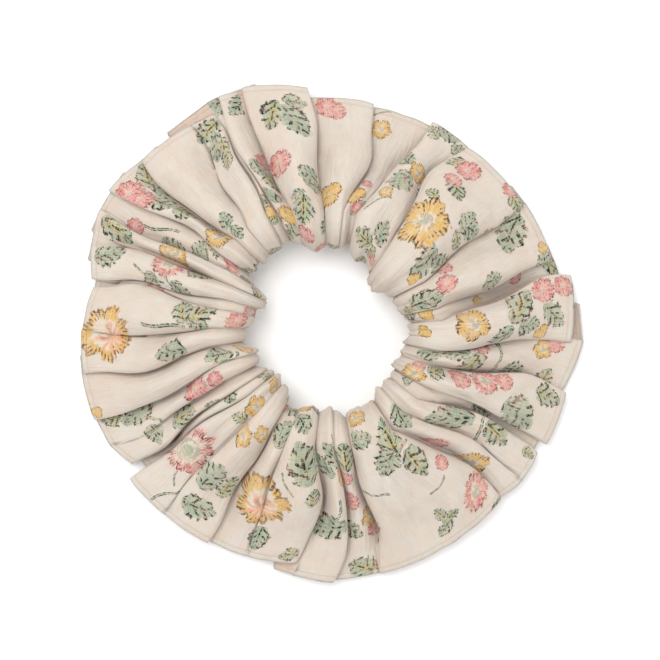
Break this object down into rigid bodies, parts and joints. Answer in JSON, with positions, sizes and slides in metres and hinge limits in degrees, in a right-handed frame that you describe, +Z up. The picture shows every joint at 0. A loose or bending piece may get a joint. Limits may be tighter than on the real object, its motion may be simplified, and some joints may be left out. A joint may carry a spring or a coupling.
{
  "type": "scrunchie",
  "caption": "Gathered cloth ring for tying hair: a pleated, printed cotton tube closed over a hidden flat elastic, lying flat.",
  "frame": {"origin": "on the table under the middle of the ring, at the centre of the underside", "axes": "+Z up through the hair hole, with the ring lying flat; +X through the side beside the closing seam, +Y across the ring"},
  "size_m": [0.1189, 0.1192, 0.0212],
  "materials": {
    "printed_cotton": "matte plain-weave cotton voile with a small floral print",
    "braided_elastic": "matte braided elastic",
    "sewing_thread": "matte spun thread"
  },
  "bodies": {
    "root": {"fabric_cover": "printed_cotton", "elastic_band": "braided_elastic", "long_seam_thread": "sewing_thread", "closing_seam_thread": "sewing_thread", "elastic_joint_thread": "sewing_thread"}
  },
  "joints": []
}
